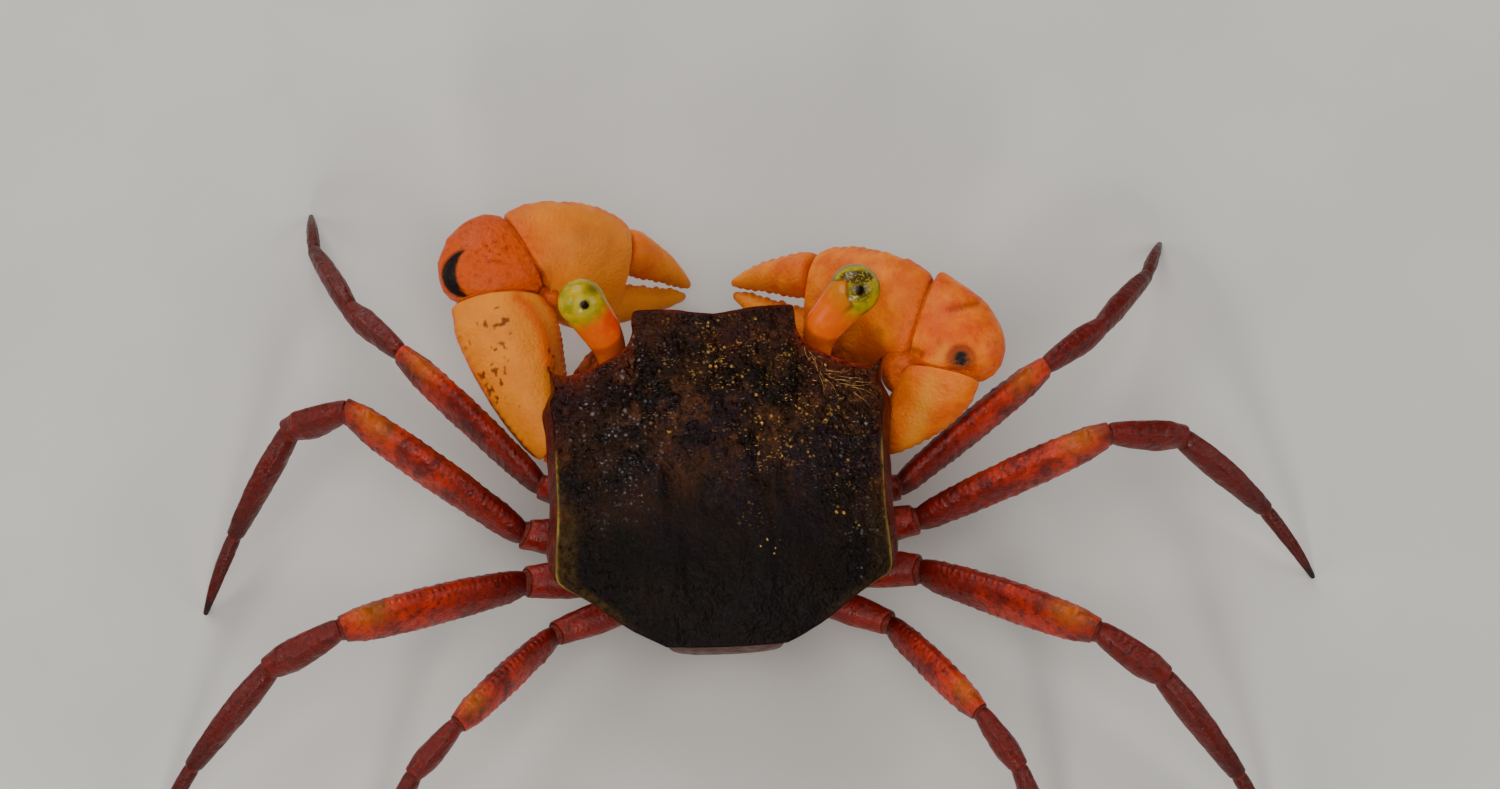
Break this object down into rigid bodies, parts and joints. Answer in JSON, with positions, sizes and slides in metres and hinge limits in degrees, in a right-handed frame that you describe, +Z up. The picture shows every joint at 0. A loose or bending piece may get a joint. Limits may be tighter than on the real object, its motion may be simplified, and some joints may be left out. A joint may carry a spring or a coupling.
{
  "type": "geosesarma notophorum crab model",
  "caption": "Life-size still model of a small land crab with a squarish dark shell, its pincers folded in front and its walking legs standing on the floor.",
  "frame": {"origin": "the floor under the middle of the box that holds the whole crab", "axes": "+X towards the crab's left side, -Y the way it faces, +Z up from the floor it stands on"},
  "size_m": [0.0432, 0.0298, 0.0095],
  "materials": {
    "shell": "wet, finely granular",
    "underside": "smooth, slightly wet",
    "cheliped": "smooth on the hand, finely granular on the wrist",
    "leg": "wet",
    "eye": "glossy"
  },
  "bodies": {
    "root": {"carapace": "shell", "thorax": "underside", "pleon": "underside", "maxilliped_left": "underside", "eye_left": "eye", "antenna_left": "underside", "cheliped_left_base": "cheliped", "cheliped_left_merus": "cheliped", "cheliped_left_carpus": "cheliped", "cheliped_left_palm": "cheliped", "cheliped_left_finger": "cheliped", "maxilliped_right": "underside", "eye_right": "eye", "antenna_right": "underside", "cheliped_right_base": "cheliped", "cheliped_right_merus": "cheliped", "cheliped_right_carpus": "cheliped", "cheliped_right_palm": "cheliped", "cheliped_right_finger": "cheliped", "leg1_left_base": "leg", "leg1_left_merus": "leg", "leg1_left_carpus": "leg", "leg1_left_propodus": "leg", "leg1_left_dactylus": "leg", "leg1_right_base": "leg", "leg1_right_merus": "leg", "leg1_right_carpus": "leg", "leg1_right_propodus": "leg", "leg1_right_dactylus": "leg", "leg2_left_base": "leg", "leg2_left_merus": "leg", "leg2_left_carpus": "leg", "leg2_left_propodus": "leg", "leg2_left_dactylus": "leg", "leg2_right_base": "leg", "leg2_right_merus": "leg", "leg2_right_carpus": "leg", "leg2_right_propodus": "leg", "leg2_right_dactylus": "leg", "leg3_left_base": "leg", "leg3_left_merus": "leg", "leg3_left_carpus": "leg", "leg3_left_propodus": "leg", "leg3_left_dactylus": "leg", "leg3_right_base": "leg", "leg3_right_merus": "leg", "leg3_right_carpus": "leg", "leg3_right_propodus": "leg", "leg3_right_dactylus": "leg", "leg4_left_base": "leg", "leg4_left_merus": "leg", "leg4_left_carpus": "leg", "leg4_left_propodus": "leg", "leg4_left_dactylus": "leg", "leg4_right_base": "leg", "leg4_right_merus": "leg", "leg4_right_carpus": "leg", "leg4_right_propodus": "leg", "leg4_right_dactylus": "leg"}
  },
  "joints": []
}
